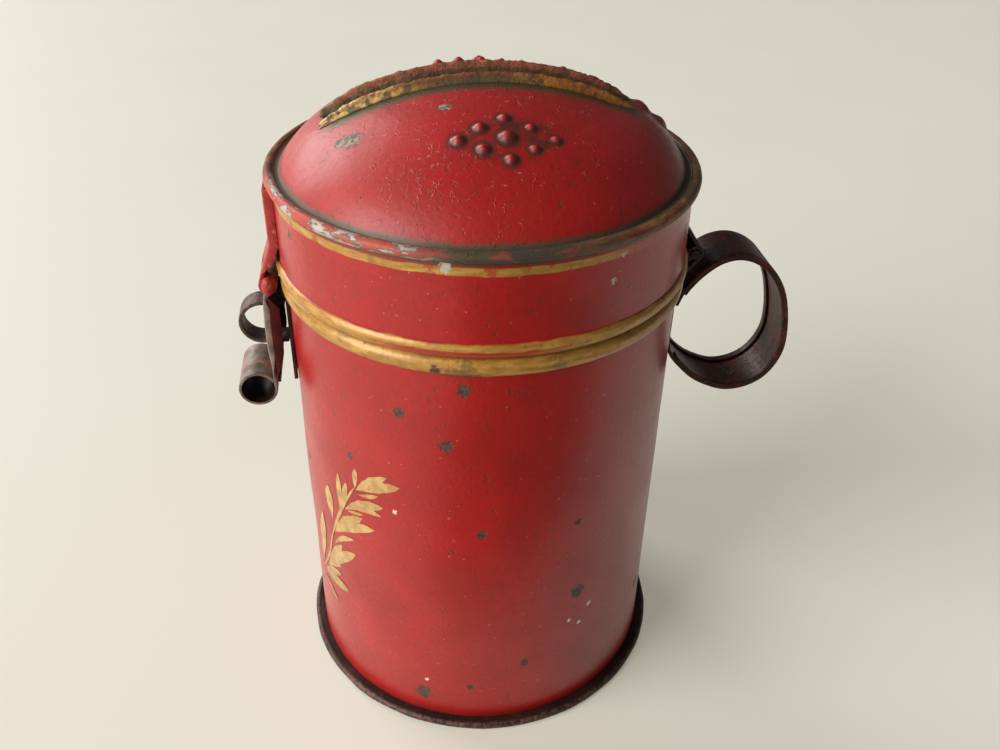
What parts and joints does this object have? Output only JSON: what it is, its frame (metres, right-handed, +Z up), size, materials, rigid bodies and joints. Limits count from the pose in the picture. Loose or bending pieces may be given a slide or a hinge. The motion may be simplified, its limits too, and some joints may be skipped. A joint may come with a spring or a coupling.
{
  "type": "money box",
  "caption": "Round painted tin money box with a hinged domed lid, a coin slot with raised lips, a finger ring handle, and a hasp that drops over a staple.",
  "frame": {"origin": "centre of the underside of the base", "axes": "+Z up along the drum's axis, +X towards the hinge and the ring handle, -X towards the hasp"},
  "size_m": [0.1184, 0.085, 0.1379],
  "materials": {
    "red_paint": "aged red varnish paint on tinplate, chipped and crackled",
    "dark_paint": "old red paint darkened to brown black, rubbed at the edges",
    "gilt_paint": "worn gold paint over red",
    "bare_tin": "dull grey tinplate with traces of red",
    "iron_wire": "dark iron wire"
  },
  "bodies": {
    "box": {"body_shell": "red_paint", "base_plate": "dark_paint", "neck_collar": "bare_tin", "hinge_leaf": "dark_paint", "hinge_pin": "iron_wire", "ring_handle": "dark_paint", "staple_plate": "dark_paint", "staple_loop": "dark_paint"},
    "lid": {"lid_skirt": "red_paint", "lid_dome": "red_paint", "rim_wire": "iron_wire", "slot_lip_front": "gilt_paint", "slot_lip_back": "gilt_paint", "hinge_strap": "dark_paint", "hasp_strap": "red_paint", "hasp_pin": "iron_wire"},
    "hasp": {"hasp_flap": "bare_tin", "hasp_backing": "dark_paint"}
  },
  "joints": [
    {"name": "lid_hinge", "type": "hinge", "parent": "box", "child": "lid", "pos_m": [0.0435, 0, 0.0997], "axis": [0, 1, 0], "range_deg": [0, 95]},
    {"name": "hasp_hinge", "type": "hinge", "parent": "lid", "child": "hasp", "pos_m": [-0.0435, 0, 0.0971], "axis": [0, 1, 0], "range_deg": [0, 135]}
  ]
}
